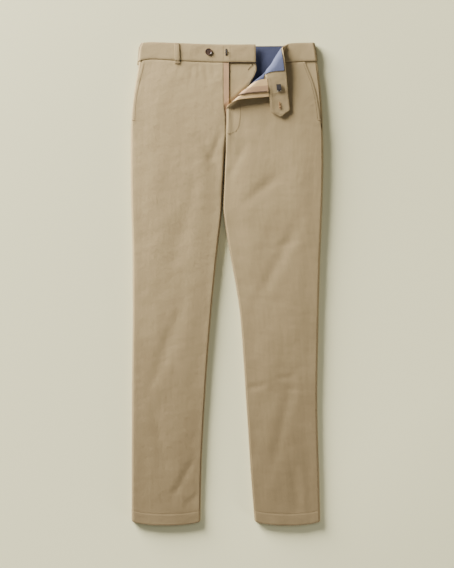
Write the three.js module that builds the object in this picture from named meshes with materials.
// Chino trousers laid flat on a surface, front side up, with the fly undone and the wearer's left
// front turned back. Millimetres. +X is to the wearer's left, +Y towards the waist, +Z up off the
// surface that the back lies on. Places on the cloth are given by x and by "down", the distance below
// the highest point of the waistband.
import * as THREE from "three";

// Driving dimensions.
const LENGTH = 1062.9; // highest point of the waistband to the lowest point of a hem
const HIGHEST = 0.48; // distance below the origin of "down" at which that highest point lies
const CLOTH = 1.2; // wall of a panel, the twill with its seam allowances
const LINING = 1.0; // wall of a lining, facing or tape
const SEAM_GAP = 0.3;
const LAYER_GAP = 0.4; // between cloths that lie on each other
const FLY_EDGE = -1.2; // free edge of the left front where the fly closes
const FLY_FOOT = 208; // where the fly ends and the front seam begins
const CROTCH = 262;
const PARTING = 362; // below this the legs no longer touch
const WAIST_SEAM = 43; // its mean height, from which the runs of the panels are counted
const HEM_CORNER = 1053;
const PANEL_LENGTH = HEM_CORNER - WAIST_SEAM;

// Waistband: the outer face stands proud of the panels, the inner face lies behind them.
const BAND_PROUD = 1.0;
const BAND_BEHIND = 2.0;
const BAND_ROLL_X = 190; // where a waistband goes over its side roll
const UNDERLAP_END = 63; // right end of the wearer's right waistband, past the fly
const TAB_SHOULDER = -33; // where the pointed tab on the left waistband begins to narrow
const TAB_TIP = -44.8;
const TAB_TIP_WIDTH = 3;
const BACK_TOP = 7; // upper edge of the back waistband near its middle
const BAND_FOOT = 45.2; // where the pieces that hang from the waist seam begin
const CURTAIN_HEM = 60; // lower edge of the waist lining
const CURTAIN_TOP_INSET = 0.8;
const CURTAIN_LEFT_HEM = 50;
const CURTAIN_BACK_REACH = 175;
const CURTAIN_LEFT_FROM = 140;
const FACED_TO = 53; // the left waistband is faced with its own twill from here to its tab
const FACING_MARGIN = 0.04;
const EDGE_INSET = 1.2; // facings stop this far short of an edge

// Fly. The zip lies open: a tape with a chain at its edge down each side.
const ZIP_TAPE = 13;
const ZIP_LINE_RIGHT = 4;
const ZIP_LINE_LEFT = 11;
const ZIP_FOOT = 190;
const ZIP_END = 145; // the same as a run from the waist seam
const FLY_FACING_END = 155;
const SINK = 2.3; // how far the right side's layers go down to pass under the left front
const SINK_RUN = 12;
const SHIELD_FROM = -20;
const SHIELD_EDGE = [
  { down: 45, x: 63.2 },
  { down: 59, x: 64.6 },
  { down: 72, x: 60.7 },
  { down: 92, x: 51.3 },
  { down: 140, x: 31 },
  { down: 196, x: 14 },
];
const FLY_FACING = [
  { down: 45, x: 38.5 },
  { down: 150, x: 37.5 },
  { down: 200, x: 20 },
];

// Belt loops.
const LOOP_WIDTH = 10.5;
const LOOP_CLOTH = 1.4;
const LOOP_TOP = 3.3;
const BACK_LOOP_TOP = 8;
const LOOP_END = 48.4;
const LOOP_SLACK = 1.2;
const LOOP_REST = 0.1;
const FRONT_LOOPS = {
  right: { x: -110.5, slant: 1.5 },
  left: { x: 118.5, slant: 0.5 },
};
const BACK_LOOPS = {
  side_right: { x: -189, slant: -4 },
  back: { x: 0, slant: 0 },
  side_left: { x: 190, slant: 4 },
};

// Fastenings.
const BUTTON = 15;
const BUTTON_THICKNESS = 2.8;
const BUTTON_HOLE = 1.8;
const BUTTON_HOLE_RING = 2.0;
const BUTTON_AT = { x: -40.3, share: 0.45 };
const HOOK_BAR = { length: 14.4, width: 3.6, metal: 0.9, rise: 1.6, foot: 2.6 };
const HOOK_BAR_AT = { x: -1.8, share: 0.45 };
const HOOK = { length: 16, width: 10, metal: 0.9, tongue: 11, gap: 1.4 };
const HOOK_AT = { x: 16.5, share: 0.47 };
const POCKET_BAG = { top: CURTAIN_HEM + SEAM_GAP, foot: 255, to: 185 };
const POCKET_BAG_EDGE = [
  { down: 60, x: 50 },
  { down: 90, x: 40 },
  { down: 160, x: 46 },
  { down: 225, x: 62 },
  { down: 255, x: 95 },
];
const POCKETING = { to: 106, end: 110 };
const POCKET_TUCK = 14; // how far a pocket facing goes on under the front

// Rolled edges of the flattened tubes.
const ROLL_OUT = 14; // width of the roll at the sides
const ROLL_IN = 9; // and at the inseams
const ROLL_UNDER = 4.5; // width of the roll below the widest point
const ROLL_SHARE = 0.62; // share of the height that is reached within the roll
const CROWN_RUN = 55; // the rest of the height is reached over this width
const HEM_DIP = 10.4; // how far the middle of a hem hangs below its corners
const HEM_RUN = 70; // the rows take on the shape of the hem along this length
const SEAM_RUN = 90; // and lose that of the waist seam along this one
const CROTCH_LIFT = 16; // over this length the backs come up to the crotch
const CENTRE_STRIP = 16; // strip of the backs beside the centre seam
const DEGREE = Math.PI / 180;

// Outline of each half as it lies: silhouette at the side, and the fly edge, front crease or inseam.
const OUTLINE = {
  right: [
    { down: 0, outer: -188.5, inner: -7.6 },
    { down: 14, outer: -193.5, inner: -7.6 },
    { down: 43, outer: -195.8, inner: -7.6 },
    { down: 105, outer: -205.7, inner: -7.4 },
    { down: 145, outer: -210.2, inner: -6.6 },
    { down: 165, outer: -211.4, inner: -4.0 },
    { down: FLY_FOOT, outer: -212.3, inner: -3.2 },
    { down: CROTCH, outer: -212.4, inner: -5.6 },
    { down: 330, outer: -211.8, inner: -9.2 },
    { down: PARTING, outer: -211.2, inner: -10.6 },
    { down: 461, outer: -208.6, inner: -21.4 },
    { down: 600, outer: -208.2, inner: -34.8 },
    { down: 786, outer: -210.0, inner: -48.4 },
    { down: 962, outer: -210.2, inner: -56.8 },
    { down: 1053, outer: -210.1, inner: -58.3 },
  ],
  left: [
    { down: 0, outer: 192.5, inner: FLY_EDGE },
    { down: 20, outer: 196.5, inner: FLY_EDGE },
    { down: 43, outer: 199.1, inner: FLY_EDGE },
    { down: 105, outer: 206.4, inner: FLY_EDGE },
    { down: 165, outer: 210.5, inner: FLY_EDGE },
    { down: FLY_FOOT, outer: 211.6, inner: -2.6 },
    { down: CROTCH, outer: 212.3, inner: -5.0 },
    { down: 330, outer: 211.1, inner: -8.4 },
    { down: PARTING, outer: 210.1, inner: -9.6 },
    { down: 400, outer: 208.6, inner: -4.6 },
    { down: 461, outer: 206.1, inner: 5.4 },
    { down: 531, outer: 203.8, inner: 18.4 },
    { down: 600, outer: 202.2, inner: 28.6 },
    { down: 786, outer: 199.1, inner: 41.8 },
    { down: 962, outer: 203.5, inner: 53.2 },
    { down: 1053, outer: 205.7, inner: 60.5 },
  ],
};

// Height of the front over the surface, of the sides' widest point and of the back's outer face.
const HEIGHTS = [
  { down: 0, loft: 16.5, waist: 6.5, under: 2.8 },
  { down: 43, loft: 17.0, waist: 6.5, under: 2.8 },
  { down: 80, loft: 19.0, waist: 5.0, under: 0.0 },
  { down: 170, loft: 21.0, waist: 4.0, under: 0.0 },
  { down: CROTCH, loft: 21.0, waist: 3.8, under: 0.0 },
  { down: PARTING, loft: 20.0, waist: 3.6, under: 0.0 },
  { down: 461, loft: 18.0, waist: 3.6, under: 0.0 },
  { down: 786, loft: 14.5, waist: 3.6, under: 0.0 },
  { down: 1053, loft: 12.5, waist: 3.6, under: 0.0 },
];

// Upper edge and seam of the waistband, on the front and on the back.
const BAND_FRONT = [
  { x: -197, top: 2.2, seam: 41.6 },
  { x: -165, top: 0.4, seam: 36.6 },
  { x: -118, top: 2.0, seam: 39.6 },
  { x: -51, top: 4.6, seam: 43.0 },
  { x: 0, top: 5.5, seam: 44.0 },
  { x: 63, top: 5.5, seam: 44.0 },
  { x: 124, top: 3.6, seam: 44.7 },
  { x: 160, top: 1.9, seam: 42.5 },
  { x: 199, top: 1.0, seam: 40.9 },
];
const BAND_FRONT_LEFT = [
  { x: -45, top: 2.6, seam: 44.0 },
  { x: 63, top: 3.2, seam: 44.0 },
  { x: 124, top: 3.6, seam: 44.7 },
  { x: 160, top: 1.9, seam: 42.5 },
  { x: 199, top: 1.0, seam: 40.9 },
];
const BAND_BACK = [
  { x: -197, top: 2.2, seam: 41.6 },
  { x: -110, top: 6.0, seam: 45.0 },
  { x: 0, top: 7.5, seam: 46.5 },
  { x: 110, top: 7.0, seam: 46.0 },
  { x: 199, top: 1.0, seam: 40.9 },
];

// Slanted edge of each front pocket, as its distance from the side silhouette.
const POCKET_EDGE = {
  right: [
    { down: 43, inset: 9.0 },
    { down: 105, inset: 4.0 },
    { down: 160, inset: 1.0 },
  ],
  left: [
    { down: 43, inset: 27.5 },
    { down: 112, inset: 11.5 },
    { down: 166, inset: 6.6 },
    { down: 185, inset: 5.2 },
  ],
};
const FACING_GAP = 0.6; // a pocket facing begins this far below the waist seam
const FACING_RUN = 60; // and its rows lose the shape of that seam along this length
const POCKET_FOOT = 178;
const POCKET_BINDING = 8; // column of the front kept along the pocket's edge
const POCKET_FOOT_RUN = 26; // below a pocket the front's edge goes over to the side seam along this length

// Where the seams lie on the rolls, as an angle round the roll: 90 is on top, 0 the silhouette, -90
// underneath.
const SEAM_ANGLE = {
  right: { outer: -76, inner: 58 },
  left: { outer: 50, inner: 58 },
};
const SEAM_GAP_ON_TOP = 1.8; // the seam gap as an angle on the upper part of a roll
const SEAM_GAP_BELOW = 5; // on its lower part
const SEAM_GAP_AT_CROTCH = 10; // and where the two halves meet
const INSEAM_RISE = 45; // below the crotch the inseam comes up to its place along this length

// The turned-back corner of the left front. The fold line runs up and out from a point on the fly edge.
const FOLD_DOWN = 139.7;
const FOLD_ANGLE = 49.5 * DEGREE;
const FOLD_ALONG = new THREE.Vector2(Math.cos(FOLD_ANGLE), Math.sin(FOLD_ANGLE));
const FOLD_ACROSS = new THREE.Vector2(-Math.sin(FOLD_ANGLE), Math.cos(FOLD_ANGLE));
const FOLD = [
  { along: -30, setback: 0.6, depth: 2.0, lift: 3.0 },
  { along: -8, setback: 3.0, depth: 3.6, lift: 7.0 },
  { along: 0, setback: 5.0, depth: 4.6, lift: 9.2 },
  { along: 11, setback: 7.6, depth: 5.2, lift: 10.6 },
  { along: 32, setback: 9.8, depth: 5.6, lift: 11.2 },
  { along: 56, setback: 12.6, depth: 5.8, lift: 11.6 },
  { along: 80, setback: 15.0, depth: 6.0, lift: 12.0 },
  { along: 106, setback: 19.6, depth: 6.4, lift: 12.5 },
  { along: 128, setback: 19.6, depth: 7.0, lift: 13.0 },
  { along: 148, setback: 16.4, depth: 7.2, lift: 13.2 },
  { along: 174, setback: 13.0, depth: 7.4, lift: 13.2 },
  { along: 205, setback: 10.0, depth: 7.4, lift: 13.2 },
];
const SWING = 3.6 * DEGREE; // the corner has also swung by this much round a place on its inner edge
const SWING_AT = { x: 85, down: 118 };
const SWING_RISE = 2.5; // and moved up by this
const SWING_RUN = 8; // all of it is reached this far past the roll of the fold
const FLAP_REST = 4.2; // height at which the turned-back corner ends up over the front
const FLAP_FALL = 95; // distance from the fold over which it comes down to that

// Largest folds of the fronts: soft troughs, each a long dent with round ends.
const TROUGHS = [
  { name: "left thigh drag", x: 74, down: 325, angle: 37, length: 95, width: 24, depth: 1.6 },
  { name: "left upper leg", x: 118, down: 470, angle: 62, length: 170, width: 26, depth: 1.3 },
  { name: "left knee", x: 66, down: 757, angle: 14, length: 46, width: 13, depth: 1.2 },
  { name: "left calf", x: 120, down: 850, angle: 78, length: 190, width: 24, depth: 1.2 },
  { name: "left ankle", x: 150, down: 985, angle: 96, length: 110, width: 26, depth: 1.5 },
  { name: "right crotch drag", x: -38, down: 250, angle: 118, length: 90, width: 20, depth: 1.3 },
  { name: "right thigh", x: -92, down: 390, angle: 74, length: 210, width: 30, depth: 1.2 },
  { name: "right knee", x: -128, down: 650, angle: 66, length: 180, width: 28, depth: 1.3 },
  { name: "right ankle drag", x: -94, down: 955, angle: 61, length: 100, width: 17, depth: 2.0 },
  { name: "right shin", x: -150, down: 860, angle: 100, length: 150, width: 26, depth: 1.1 },
];

const clamp = (value, low, high) => Math.min(high, Math.max(low, value));
const mix = (a, b, t) => a + (b - a) * t;
const smooth = (t) => {
  const c = clamp(t, 0, 1);
  return c * c * (3 - 2 * c);
};
const steps = (from, to, count) =>
  Array.from({ length: count + 1 }, (_, i) => mix(from, to, i / count));
const signOf = (half) => (half === "right" ? -1 : 1);

// Smooth value of one column of a table, with no overshoot between its rows.
function column(table, key, name, at) {
  const last = table.length - 1;
  if (at <= table[0][key]) return table[0][name];
  if (at >= table[last][key]) return table[last][name];
  const slope = (i) => (table[i + 1][name] - table[i][name]) / (table[i + 1][key] - table[i][key]);
  const tangent = (i) => {
    if (i === 0) return slope(0);
    if (i === last) return slope(last - 1);
    const [a, b] = [slope(i - 1), slope(i)];
    return a * b <= 0 ? 0 : (2 * a * b) / (a + b);
  };
  let i = 0;
  while (table[i + 1][key] < at) i += 1;
  const run = table[i + 1][key] - table[i][key];
  const t = (at - table[i][key]) / run;
  const [p, q] = [table[i][name], table[i + 1][name]];
  const [m, n] = [tangent(i) * run, tangent(i + 1) * run];
  return (
    (2 * t ** 3 - 3 * t ** 2 + 1) * p + (t ** 3 - 2 * t ** 2 + t) * m +
    (3 * t ** 2 - 2 * t ** 3) * q + (t ** 3 - t ** 2) * n
  );
}
const outlineAt = (half, name, down) => column(OUTLINE[half], "down", name, down);
const heightAt = (name, down) => column(HEIGHTS, "down", name, down);
const bandAt = (table, name, x) => column(table, "x", name, x);

// Share of the full height at a distance from a silhouette whose roll has the given width.
const rise = (inset, roll) =>
  ROLL_SHARE * Math.sqrt(Math.max(0, 1 - (1 - Math.min(inset, roll) / roll) ** 2)) +
  (1 - ROLL_SHARE) * smooth((inset - roll) / CROWN_RUN);

// How far the front has gone down into the crease between the legs: 0 at the fly, 1 from the crotch on.
const creaseShare = (down) => smooth((down - FLY_FOOT + 6) / (CROTCH - FLY_FOOT));

function troughDepth(x, down) {
  return TROUGHS.reduce((sum, fold) => {
    const c = Math.cos(fold.angle * DEGREE);
    const s = Math.sin(fold.angle * DEGREE);
    const [dx, dy] = [x - fold.x, fold.down - down];
    const lengthwise = (dx * c + dy * s) / (fold.length / 2);
    const crosswise = (dy * c - dx * s) / (fold.width / 2);
    return sum + fold.depth * Math.exp(-(lengthwise ** 4) - crosswise ** 2);
  }, 0);
}

// Height of the outer face of a front over the surface.
function frontHeight(half, x, down) {
  const side = signOf(half);
  const base = heightAt("waist", down);
  const fromSide = rise(side * (outlineAt(half, "outer", down) - x), ROLL_OUT);
  const fromCrease = rise(side * (x - outlineAt(half, "inner", down)), ROLL_IN);
  const share = fromSide * (1 - creaseShare(down) * (1 - fromCrease));
  return base + (heightAt("loft", down) - base) * share - troughDepth(x, down) * share;
}

// A point on a roll at a silhouette, by its angle round the roll, as a distance in from the silhouette
// and a height.
function rollPoint(half, edge, angle, down) {
  const side = signOf(half) * (edge === "outer" ? 1 : -1);
  const x0 = outlineAt(half, edge, down);
  const roll = angle < 0 ? ROLL_UNDER : edge === "outer" ? ROLL_OUT : ROLL_IN;
  const x = x0 - side * roll * (1 - Math.cos(angle * DEGREE));
  if (angle >= 0) return { x, z: frontHeight(half, x, down) };
  const [widest, under] = [heightAt("waist", down), heightAt("under", down)];
  return { x, z: under + (widest - under) * (1 + Math.sin(angle * DEGREE)) };
}

const place = (x, down, z) => new THREE.Vector3(x, LENGTH / 2 + HIGHEST - down, z);

// The left front as it lies: its outer face, with the corner past the fold line turned over and back.
function turnedPlace(x, down) {
  const from = new THREE.Vector2(x - FLY_EDGE, FOLD_DOWN - down);
  const s = from.dot(FOLD_ALONG);
  const d = from.dot(FOLD_ACROSS);
  const at = (name) => column(FOLD, "along", name, s);
  const reach = at("setback") + at("depth");
  const lift = at("lift");
  let [across, height] = [d, 0];
  if (d >= reach) {
    across = -d;
    height = mix(lift, Math.min(lift, FLAP_REST), smooth((d - reach) / FLAP_FALL));
  } else if (d > -reach) {
    const turn = (Math.PI * (d + reach)) / (2 * reach);
    across = -reach + at("depth") * Math.sin(turn);
    height = (lift * (1 - Math.cos(turn))) / 2;
  }
  const plan = FOLD_ALONG.clone().multiplyScalar(s).addScaledVector(FOLD_ACROSS, across);
  const [x0, down0] = [FLY_EDGE + plan.x, FOLD_DOWN - plan.y];
  const swung = smooth(d / (reach + SWING_RUN));
  const px = x0 + (SWING_AT.down - down0) * SWING * swung;
  const pdown = down0 - ((SWING_AT.x - x0) * SWING + SWING_RISE) * swung;
  return place(px, pdown, frontHeight("left", px, pdown) + height);
}
// Where the fold line crosses a row of the pattern, and how far its roll reaches along that row.
const foldX = (down) => FLY_EDGE + (FOLD_DOWN - down) / Math.tan(FOLD_ANGLE);
const foldReach = (down) => {
  const s = (FOLD_DOWN - down) / Math.sin(FOLD_ANGLE);
  return (column(FOLD, "along", "setback", s) + column(FOLD, "along", "depth", s)) / Math.sin(FOLD_ANGLE);
};

// A closed wall between two offsets from a surface, a function of two running values. Offsets count
// outwards from the garment, and facing is -1 where the surface's own normal points inwards.
function wall(surface, us, vs, outer, inner, facing = 1) {
  const points = [];
  const STEP = 1e-3;
  const normalAt = (u, v) => {
    const du = surface(u + STEP, v).sub(surface(u - STEP, v));
    const dv = surface(u, v + STEP).sub(surface(u, v - STEP));
    return du.cross(dv).normalize().multiplyScalar(facing);
  };
  const offset = (value, u, v) => (typeof value === "function" ? value(u, v) : value);
  [outer, inner].forEach((layer) =>
    vs.forEach((v) =>
      us.forEach((u) => {
        const p = surface(u, v).addScaledVector(normalAt(u, v), offset(layer, u, v));
        points.push(p.x, p.y, p.z);
      }),
    ),
  );
  const [nu, nv] = [us.length, vs.length];
  const id = (layer, i, j) => layer * nu * nv + j * nu + i;
  const faces = [];
  const quad = (a, b, c, d) => faces.push(a, b, c, a, c, d);
  for (let j = 0; j < nv - 1; j += 1)
    for (let i = 0; i < nu - 1; i += 1) {
      quad(id(0, i, j), id(0, i + 1, j), id(0, i + 1, j + 1), id(0, i, j + 1));
      quad(id(1, i, j), id(1, i, j + 1), id(1, i + 1, j + 1), id(1, i + 1, j));
    }
  for (let i = 0; i < nu - 1; i += 1) {
    quad(id(1, i, 0), id(1, i + 1, 0), id(0, i + 1, 0), id(0, i, 0));
    quad(id(0, i, nv - 1), id(0, i + 1, nv - 1), id(1, i + 1, nv - 1), id(1, i, nv - 1));
  }
  for (let j = 0; j < nv - 1; j += 1) {
    quad(id(0, 0, j), id(0, 0, j + 1), id(1, 0, j + 1), id(1, 0, j));
    quad(id(1, nu - 1, j), id(1, nu - 1, j + 1), id(0, nu - 1, j + 1), id(0, nu - 1, j));
  }
  return closed(points, faces);
}

// Geometry of a closed mesh, with its faces turned outwards.
function closed(points, faces) {
  const at = (i) => new THREE.Vector3().fromArray(points, 3 * i);
  let volume = 0;
  for (let i = 0; i < faces.length; i += 3)
    volume += at(faces[i]).dot(at(faces[i + 1]).cross(at(faces[i + 2])));
  if (volume < 0)
    for (let i = 0; i < faces.length; i += 3) [faces[i], faces[i + 1]] = [faces[i + 1], faces[i]];
  const geometry = new THREE.BufferGeometry();
  geometry.setAttribute("position", new THREE.Float32BufferAttribute(points, 3));
  geometry.setIndex(faces);
  return geometry;
}

// Rows of the panels by their run from the waist seam, closer together where the corner is turned
// back, at the pocket ends, at the crotch and at the hem. The rows of the legs are shared, so that
// fronts and backs meet.
const LEG_ROWS = [
  200, 207, 213, 219, 227, 236, 248, 263, 285, 320, 370, 430, 500, 590, 690, 790, 880, 945, 985,
  PANEL_LENGTH,
];
const RIGHT_ROWS = [0, 12, 30, 55, 90, 120, 135, 141, 146, 151, 157, 166, 182, ...LEG_ROWS];
const LEFT_ROWS = [
  0, 9, 18, 28, 38, 48, 58, 68, 78, 86, 93, 99, 104, 109, 114, 120, 130, 145, 164, 184, ...LEG_ROWS,
];
const BACK_ROWS = [0, 12, 28, 46, 70, 105, 150, ...LEG_ROWS];

// Distance below the top of a point of a panel, by its run from the waist seam, following that seam
// and the hem.
function downOf(half, x, run, band, dip) {
  const seam = bandAt(band, "seam", x) + SEAM_GAP;
  const outer = outlineAt(half, "outer", HEM_CORNER);
  const inner = outlineAt(half, "inner", HEM_CORNER);
  const across = clamp((x - outer) / (inner - outer), 0, 1);
  const hang = dip * Math.sqrt(Math.sin(Math.PI * across));
  return (
    WAIST_SEAM + run + (seam - WAIST_SEAM) * (1 - smooth(run / SEAM_RUN)) +
    hang * smooth((run - PANEL_LENGTH + HEM_RUN) / HEM_RUN)
  );
}

const pocketInset = (half, down) => column(POCKET_EDGE[half], "down", "inset", down);

// Where the inseam lies on the inner roll: it comes up out of the crease below the crotch.
const inseamAngle = (half, down) => SEAM_ANGLE[half].inner * smooth((down - CROTCH) / INSEAM_RISE);

// Plan place across a front: 0 to 1 round the side roll from the seam, 1 to 2 across, 2 to 3 round the
// inner roll.
function frontAcross(half, u, down) {
  const side = signOf(half);
  const foot = smooth((down - POCKET_FOOT) / POCKET_FOOT_RUN);
  const inset = pocketInset(half, down);
  const pocketX = outlineAt(half, "outer", down) - side * inset;
  const innerFrom = outlineAt(half, "inner", down) + side * ROLL_IN;
  if (u <= 1) {
    const pocketAngle = Math.acos(clamp(1 - inset / ROLL_OUT, -1, 1)) / DEGREE;
    if (inset >= ROLL_OUT) return { x: pocketX - side * POCKET_BINDING * u };
    const from = mix(pocketAngle, SEAM_ANGLE[half].outer, foot);
    return rollPoint(half, "outer", mix(from, 90, u), down);
  }
  const start = outlineAt(half, "outer", down) - side * Math.max(ROLL_OUT, inset + POCKET_BINDING);
  if (u <= 2) return { x: mix(start, innerFrom, u - 1) };
  const angle = mix(90, inseamAngle(half, down), u - 2);
  return { x: outlineAt(half, "inner", down) + side * ROLL_IN * (1 - Math.cos(angle * DEGREE)) };
}

// Plan place across the left front where its corner is turned back: 1 to 2 up to the roll of the fold,
// 2 to 3 round it, and 3 to 4 to the fly edge.
function turnedAcross(u, down) {
  if (u <= 1) return frontAcross("left", u, down);
  const start = frontAcross("left", 1, down).x;
  const rollStart = Math.max(foldX(down) + foldReach(down), FLY_EDGE + 8);
  const rollEnd = Math.max(foldX(down) - foldReach(down), FLY_EDGE + 1.6);
  if (u <= 2) return { x: mix(start, rollStart, u - 1) };
  if (u <= 3) return { x: mix(rollStart, rollEnd, u - 2) };
  return { x: mix(rollEnd, FLY_EDGE, u - 3) };
}

function frontRight() {
  const surface = (u, run) => {
    const flat = frontAcross("right", u, WAIST_SEAM + run).x;
    const down = downOf("right", flat, run, BAND_FRONT, HEM_DIP);
    const { x, z } = frontAcross("right", u, down);
    return place(x, down, z ?? frontHeight("right", x, down));
  };
  const us = [...steps(0, 1, 6), ...steps(1, 2, 9).slice(1), ...steps(2, 3, 4).slice(1)];
  return wall(surface, us, RIGHT_ROWS, 0, -CLOTH, -1);
}

function frontLeft() {
  const legU = (u) => (u <= 2 ? u : 2 + (u - 2) / 2);
  const surface = (u, run) => {
    const share = smooth((WAIST_SEAM + run - FOLD_DOWN - 8) / 45);
    const across = (down) => {
      const turned = turnedAcross(u, down);
      const leg = frontAcross("left", legU(u), down);
      return { x: mix(turned.x, leg.x, share), z: u <= 1 ? turned.z : undefined };
    };
    const down = downOf("left", across(WAIST_SEAM + run).x, run, BAND_FRONT, HEM_DIP);
    const { x, z } = across(down);
    return z === undefined ? turnedPlace(x, down) : place(x, down, z);
  };
  const us = [
    ...steps(0, 1, 4), ...steps(1, 2, 7).slice(1), ...steps(2, 3, 8).slice(1), ...steps(3, 4, 3).slice(1),
  ];
  return wall(surface, us, LEFT_ROWS, 0, -CLOTH);
}

// A back: 0 to 1 round the top of the side roll from the seam, 1 to 2 round its underside, 2 to 3 flat,
// 3 to 4 and 4 to 5 round the inner roll of the leg, or on to the centre seam above the crotch.
function back(half) {
  const side = signOf(half);
  const seam = SEAM_ANGLE[half];
  const startsUnder = seam.outer < 0;
  const startAngle = seam.outer - (startsUnder ? SEAM_GAP_BELOW : SEAM_GAP_ON_TOP);
  const centre = side * (SEAM_GAP / 2);
  const section = (u, down) => {
    if (u < 1) return rollPoint(half, "outer", mix(startAngle, 0, u), down);
    if (u < 2) return rollPoint(half, "outer", mix(startsUnder ? startAngle : 0, -90, u - 1), down);
    const under = heightAt("under", down);
    const leg = smooth((down - CROTCH + CROTCH_LIFT) / CROTCH_LIFT);
    const outerX = outlineAt(half, "outer", down) - side * ROLL_UNDER;
    const innerX = outlineAt(half, "inner", down) + side * ROLL_UNDER;
    const trunkX = centre + side * CENTRE_STRIP;
    if (u <= 3) return { x: mix(outerX, mix(trunkX, innerX, leg), u - 2), z: under };
    const rise = inseamAngle(half, down);
    const gap = mix(SEAM_GAP_AT_CROTCH, SEAM_GAP_ON_TOP, smooth(rise / 10));
    const onLeg = u <= 4
      ? rollPoint(half, "inner", mix(-90, Math.min(0, rise - gap), u - 3), down)
      : rollPoint(half, "inner", mix(Math.min(0, rise - gap), rise - gap, u - 4), down);
    const shareX = u <= 4 ? (u - 3) * 0.8 : 0.8 + (u - 4) * 0.2;
    return { x: mix(mix(trunkX, centre, shareX), onLeg.x, leg), z: mix(under, onLeg.z, leg) };
  };
  const surface = (u, run) => {
    const down = downOf(half, section(u, WAIST_SEAM + run).x, run, BAND_BACK, HEM_DIP);
    const { x, z } = section(u, down);
    return place(x, down, z);
  };
  const us = [
    ...(startsUnder ? [1] : [...steps(0, 1, 2), ...steps(1, 2, 4).slice(1, -1)]),
    ...steps(2, 3, 5), ...steps(3, 4, 4).slice(1), ...steps(4, 5, 2).slice(1),
  ];
  return wall(surface, us, BACK_ROWS, 0, -CLOTH, -side);
}

// A place on the outer face of a half's front, with the left one turned back past its fold.
const outerPlace = (half) => (x, down) =>
  half === "left" ? turnedPlace(x, down) : place(x, down, frontHeight(half, x, down));

// How far the layers under the left front have gone down to pass beneath it: 0 where they lie bare, 1
// under the fold.
function sunk(x, down) {
  const from = new THREE.Vector2(x - FLY_EDGE, FOLD_DOWN - down);
  const bare = from.dot(FOLD_ACROSS) + column(FOLD, "along", "setback", from.dot(FOLD_ALONG));
  return smooth((SINK_RUN - bare) / SINK_RUN);
}

// Distance below the top of a point of a waistband, by its share of the way from the upper edge to the
// seam.
function bandDown(table, x, share, narrowing = 0) {
  const [top, seam] = [bandAt(table, "top", x), bandAt(table, "seam", x)];
  const halfWidth = mix((seam - top) / 2, TAB_TIP_WIDTH / 2, narrowing);
  return (top + seam) / 2 + (2 * share - 1) * halfWidth;
}
// Place on the outer face of the left waistband's front, out to its pointed tab.
function leftBandPlace(x, share) {
  const narrowing = clamp((TAB_SHOULDER - x) / (TAB_SHOULDER - TAB_TIP), 0, 1);
  return turnedPlace(x, bandDown(BAND_FRONT_LEFT, x, share, narrowing));
}

// A waistband half: 0 to 1 along the back from its centre to the side, 1 to 3 round the side roll,
// then the front.
function band(half) {
  const side = signOf(half);
  const table = half === "left" ? BAND_FRONT_LEFT : BAND_FRONT;
  const frontFrom = (down) => outlineAt(half, "outer", down) - side * ROLL_OUT;
  const surface = (u, share) => {
    const middle = bandDown(table, side * BAND_ROLL_X, share);
    if (u <= 1) {
      const x = mix(side * (SEAM_GAP / 2), outlineAt(half, "outer", middle) - side * ROLL_UNDER, u);
      const down = bandDown(BAND_BACK, x, share);
      return place(x, down, heightAt("under", down));
    }
    if (u <= 3) {
      const angle = 90 * (u - 2);
      const down = bandDown(table, rollPoint(half, "outer", angle, middle).x, share);
      const { x, z } = rollPoint(half, "outer", angle, down);
      return place(x, down, z);
    }
    if (half === "right") {
      const x = mix(frontFrom(middle), UNDERLAP_END, u - 3);
      return outerPlace(half)(x, bandDown(BAND_FRONT, x, share));
    }
    const [foldAt, reach] = [foldX(middle), foldReach(middle)];
    const ends = [frontFrom(middle), foldAt + reach, foldAt - reach, TAB_SHOULDER, TAB_TIP];
    const i = Math.min(3, Math.floor(u - 3));
    return leftBandPlace(mix(ends[i], ends[i + 1], u - 3 - i), share);
  };
  const front = half === "right"
    ? steps(3, 4, 12)
    : [...steps(3, 4, 4), ...steps(4, 5, 10).slice(1), ...steps(5, 6, 6).slice(1), 6.5, 7];
  const us = [...steps(0, 1, 5), ...steps(1, 2, 4).slice(1), ...steps(2, 3, 4).slice(1), ...front.slice(1)];
  return wall(surface, us, steps(0, 1, 4), BAND_PROUD, -BAND_BEHIND, side);
}

// Linings and facings behind the waistband. Each is a strip that may hang below the waist seam.
const behindBand = -BAND_BEHIND - LAYER_GAP;
function curtainBack() {
  const surface = (x, down) => place(x, down, heightAt("under", down));
  const xs = steps(-CURTAIN_BACK_REACH, CURTAIN_BACK_REACH, 8);
  const rows = steps(BACK_TOP + CURTAIN_TOP_INSET, CURTAIN_HEM, 4);
  return wall(surface, xs, rows, behindBand, behindBand - LINING);
}
function curtainLeft() {
  const surface = (u, down) => turnedPlace(besideFold(FACED_TO, CURTAIN_LEFT_FROM, u, down), down);
  const us = [...steps(0, 1, 3), ...steps(1, 2, 10).slice(1), 2.5, 3];
  return wall(surface, us, steps(BACK_TOP, CURTAIN_LEFT_HEM, 5), behindBand, behindBand - LINING);
}
function tabFacing() {
  const xs = [...steps(FACED_TO - 2 * SEAM_GAP, TAB_SHOULDER, 8), TAB_TIP + EDGE_INSET];
  const shares = steps(FACING_MARGIN, 1 - FACING_MARGIN, 4);
  return wall(leftBandPlace, xs, shares, behindBand, behindBand - LINING, -1);
}

// Plan place across a strip behind the left front, between two values of x, with columns that keep to
// the roll of the fold: 0 to 1 up to the roll, 1 to 2 round it, 2 to 3 past it.
function besideFold(from, to, u, down) {
  const rollStart = clamp(foldX(down) + foldReach(down), from + 2, to - 0.5);
  const rollEnd = clamp(foldX(down) - foldReach(down), from + 0.5, to - 2);
  const marks = [to, rollStart, rollEnd, from];
  const i = clamp(Math.floor(u), 0, 2);
  return mix(marks[i], marks[i + 1], u - i);
}
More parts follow.
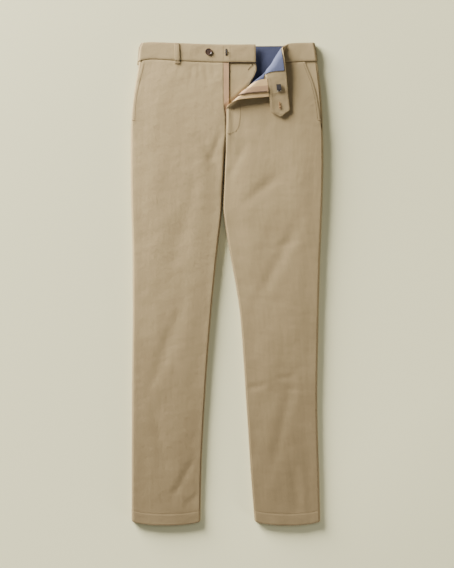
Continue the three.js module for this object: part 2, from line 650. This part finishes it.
// A strip behind the left front between two lines down it, on the panel's own rows.
function behindLeftFront(from, to, first, last, depth) {
  const across = (u, down) => besideFold(from(down), to(down), u, down);
  const surface = (u, run) => {
    const down = downOf("left", across(u, WAIST_SEAM + run), run, BAND_FRONT, 0);
    return turnedPlace(across(u, down), down);
  };
  const rows = [first, ...LEFT_ROWS.filter((run) => run > first + 1 && run < last - 5), last];
  return wall(surface, [0, 0.5, ...steps(1, 2, 8), 2.5, 3], rows, -depth, -depth - LINING);
}
const facingEdge = (down) => column(FLY_FACING, "down", "x", down);
const flyFacing = () =>
  behindLeftFront(() => FLY_EDGE + EDGE_INSET, facingEdge, 1, FLY_FACING_END, CLOTH + LAYER_GAP);
const zipTapeLeft = () => {
  const depth = CLOTH + 3 * LAYER_GAP + LINING;
  return behindLeftFront(() => ZIP_LINE_LEFT, () => ZIP_LINE_LEFT + ZIP_TAPE, 1, ZIP_END, depth);
};
// The upper layer of the left pocket's bag goes on from the fly facing.
const pocketingLeft = () => {
  const first = CURTAIN_LEFT_HEM - WAIST_SEAM + 1;
  const from = (down) => facingEdge(down) + 2 * SEAM_GAP;
  return behindLeftFront(from, () => POCKETING.to, first, POCKETING.end, CLOTH + LAYER_GAP);
};

// The right tape and the fly shield lie behind the right front, and go down where the left front
// covers them.
function zipTapeRight() {
  const depth = (x, down) => CLOTH + LAYER_GAP + SINK * sunk(x, down);
  const surface = (x, down) => place(x, down, frontHeight("right", x, down) - depth(x, down));
  const xs = steps(ZIP_LINE_RIGHT, ZIP_LINE_RIGHT - ZIP_TAPE, 4);
  return wall(surface, xs, steps(BAND_FOOT, ZIP_FOOT, 12), 0, -LINING, -1);
}
function flyShield() {
  const depth = (x, down) => CLOTH + 2 * LAYER_GAP + LINING + SINK * sunk(x, down);
  const surface = (u, down) => {
    const x = mix(column(SHIELD_EDGE, "down", "x", down), SHIELD_FROM, u);
    return place(x, down, frontHeight("right", x, down) - depth(x, down));
  };
  const last = SHIELD_EDGE[SHIELD_EDGE.length - 1].down;
  return wall(surface, steps(0, 1, 7), steps(BAND_FOOT, last, 12), 0, -CLOTH);
}

// The left pocket's bag hangs between front and back, and its inner edge shows through the open fly.
function pocketBag() {
  const surface = (u, down) => {
    const x = mix(POCKET_BAG.to, column(POCKET_BAG_EDGE, "down", "x", down), u);
    return place(x, down, heightAt("under", down) - behindBand);
  };
  return wall(surface, steps(0, 1, 4), steps(POCKET_BAG.top, POCKET_BAG.foot, 10), LINING, 0);
}

// The cloth behind a slanted pocket opening, from under the front's edge to under the back's at the
// side seam.
function pocketFacing(half) {
  const side = signOf(half);
  const from = SEAM_ANGLE[half].outer > 0 ? SEAM_ANGLE[half].outer - 8 : SEAM_ANGLE[half].outer;
  const section = (u, down) => {
    if (u < 1) return rollPoint(half, "outer", mix(from, 90, u), down);
    const start = outlineAt(half, "outer", down) - side * ROLL_OUT;
    const reach = Math.max(0, pocketInset(half, down) - ROLL_OUT) + POCKET_TUCK;
    const x = start - side * reach * (u - 1);
    return { x, z: frontHeight(half, x, down) };
  };
  const surface = (u, row) => {
    const raised = BAND_FOOT - FACING_GAP - bandAt(BAND_FRONT, "seam", section(u, row).x);
    const down = row - raised * (1 - smooth((row - BAND_FOOT) / FACING_RUN));
    const { x, z } = section(u, down);
    return place(x, down, z);
  };
  const rows = steps(BAND_FOOT, POCKET_FOOT, 8);
  const depth = CLOTH + LAYER_GAP;
  const us = [...steps(0, 1, 6), ...steps(1, 2, 2).slice(1)];
  return wall(surface, us, rows, -depth, -depth - LINING, side);
}

// A belt loop stands on the waistband's outer face, a little slack in its middle, and ends on the
// panel below it.
function frontLoop(half) {
  const { x: centre, slant } = FRONT_LOOPS[half];
  const at = (u, down) => centre + slant * (down / LOOP_END) + LOOP_WIDTH * (0.5 - u);
  const surface = (u, down) => outerPlace(half)(at(u, down), down);
  const stand = (u, down) => {
    const share = (down - LOOP_TOP) / (LOOP_END - LOOP_TOP);
    const past = smooth((down - bandAt(BAND_FRONT, "seam", centre) - 0.5) / 2.5);
    return SEAM_GAP + BAND_PROUD * (1 - past) + LOOP_SLACK * Math.sin(Math.PI * share);
  };
  const rows = steps(LOOP_TOP, LOOP_END, 10);
  const outer = (u, down) => stand(u, down) + LOOP_CLOTH;
  return wall(surface, steps(0, 1, 2), rows, outer, stand);
}
// The loops at the back lie flat under the waistband.
function backLoop({ x: centre, slant }) {
  const at = (u, down) => centre + slant * (down / LOOP_END) + LOOP_WIDTH * (0.5 - u);
  const surface = (u, down) => place(at(u, down), down, LOOP_REST);
  return wall(surface, [0, 1], [BACK_LOOP_TOP, LOOP_END], LOOP_CLOTH, 0);
}

// A flat plate with its outline in plan and a rounded upper edge, standing on z = 0.
function plate(shape, thickness, bevel, segments) {
  const geometry = new THREE.ExtrudeGeometry(shape, {
    depth: thickness - 2 * bevel, bevelThickness: bevel, bevelSize: bevel, bevelOffset: -bevel,
    bevelSegments: 1, curveSegments: segments,
  });
  return geometry.translate(0, 0, bevel);
}
function buttonGeometry() {
  const shape = new THREE.Shape().absarc(0, 0, BUTTON / 2, 0, 2 * Math.PI);
  [45, 135, 225, 315].forEach((angle) => {
    const [c, s] = [Math.cos(angle * DEGREE), Math.sin(angle * DEGREE)];
    const hole = new THREE.Path();
    hole.absarc(c * BUTTON_HOLE_RING, s * BUTTON_HOLE_RING, BUTTON_HOLE / 2, 0, 2 * Math.PI, true);
    shape.holes.push(hole);
  });
  return plate(shape, BUTTON_THICKNESS, 0.5, 7);
}
// A strip of metal bent in its own plane: its side view, drawn in x and z, is given the strip's width
// along y.
function bentStrip(points, width) {
  const shape = new THREE.Shape(points.map(([x, z]) => new THREE.Vector2(x, z)));
  const geometry = new THREE.ExtrudeGeometry(shape, { depth: width, bevelEnabled: false });
  geometry.translate(0, 0, -width / 2);
  geometry.rotateX(Math.PI / 2);
  return geometry;
}
// The bar that the hook catches on: two feet on the cloth and a raised middle.
function hookBarGeometry() {
  const { length, width, metal, rise, foot } = HOOK_BAR;
  const end = length / 2;
  const knee = end - foot;
  const middle = knee - rise;
  return bentStrip([
    [-end, 0], [-knee, 0], [-middle, rise], [middle, rise], [knee, 0], [end, 0],
    [end, metal], [knee, metal], [middle, rise + metal], [-middle, rise + metal], [-knee, metal], [-end, metal],
  ], width);
}
// The hook: a plate on the cloth whose end is bent back over itself.
function hookGeometry() {
  const { length, width, metal, tongue, gap } = HOOK;
  const half = length / 2;
  const top = 2 * metal + gap;
  return bentStrip([
    [half, 0], [half, top], [half - tongue, top], [half - tongue, metal + gap],
    [half - metal, metal + gap], [half - metal, metal], [-half, metal], [-half, 0],
  ], width);
}

// Stands a fitting on a surface at u, v, off it by some distance, with its x axis along the surface's u.
function standOn(mesh, surface, u, v, off, facing) {
  const STEP = 1;
  const along = surface(u + STEP, v).sub(surface(u - STEP, v)).normalize();
  const down = surface(u, v + STEP / LENGTH).sub(surface(u, v - STEP / LENGTH));
  const up = along.clone().cross(down).normalize().multiplyScalar(facing);
  const across = up.clone().cross(along);
  mesh.quaternion.setFromRotationMatrix(new THREE.Matrix4().makeBasis(along, across, up));
  mesh.position.copy(surface(u, v)).addScaledVector(up, off);
  return mesh;
}

const CLOTHS = {
  twill: { color: 0xb4a487, roughness: 0.9 },
  inside: { color: 0xc0a585, roughness: 0.9 },
  lining: { color: 0x7d86a0, roughness: 0.85 },
  tape: { color: 0x8d7557, roughness: 0.8 },
};
const METAL = { color: 0x4a3d33, roughness: 0.4, metalness: 0.9 };
const HORN = { color: 0x4a2f22, roughness: 0.35 };

const trousers = new THREE.Group();
function add(name, geometry, finish) {
  const mesh = new THREE.Mesh(geometry, new THREE.MeshStandardMaterial(finish));
  mesh.name = name;
  trousers.add(mesh);
  return mesh;
}

add("front_right", frontRight(), CLOTHS.twill);
add("front_left", frontLeft(), CLOTHS.twill);
["right", "left"].forEach((half) => {
  add(`back_${half}`, back(half), CLOTHS.twill);
  add(`waistband_${half}`, band(half), CLOTHS.twill);
  add(`pocket_facing_${half}`, pocketFacing(half), CLOTHS.twill);
  add(`belt_loop_front_${half}`, frontLoop(half), CLOTHS.twill);
});
Object.entries(BACK_LOOPS).forEach(([name, loop]) => {
  add(`belt_loop_${name}`, backLoop(loop), CLOTHS.twill);
});
add("curtain_back", curtainBack(), CLOTHS.lining);
add("curtain_left", curtainLeft(), CLOTHS.lining);
add("pocket_bag_left", pocketBag(), CLOTHS.lining);
add("pocketing_left", pocketingLeft(), CLOTHS.lining);
add("tab_facing", tabFacing(), CLOTHS.inside);
add("fly_facing", flyFacing(), CLOTHS.inside);
add("fly_shield", flyShield(), CLOTHS.twill);
add("zip_tape_right", zipTapeRight(), CLOTHS.tape);
add("zip_tape_left", zipTapeLeft(), CLOTHS.tape);

const rightBand = (x, share) => outerPlace("right")(x, bandDown(BAND_FRONT, x, share));
const onBand = BAND_PROUD + SEAM_GAP;
standOn(add("button", buttonGeometry(), HORN), rightBand, BUTTON_AT.x, BUTTON_AT.share, onBand, -1);
const bar = add("hook_bar", hookBarGeometry(), METAL);
standOn(bar, rightBand, HOOK_BAR_AT.x, HOOK_BAR_AT.share, onBand, -1);
bar.rotateZ(Math.PI / 2);
const onFacing = LINING - behindBand + SEAM_GAP;
standOn(add("hook", hookGeometry(), METAL), leftBandPlace, HOOK_AT.x, HOOK_AT.share, onFacing, 1);

export default trousers;
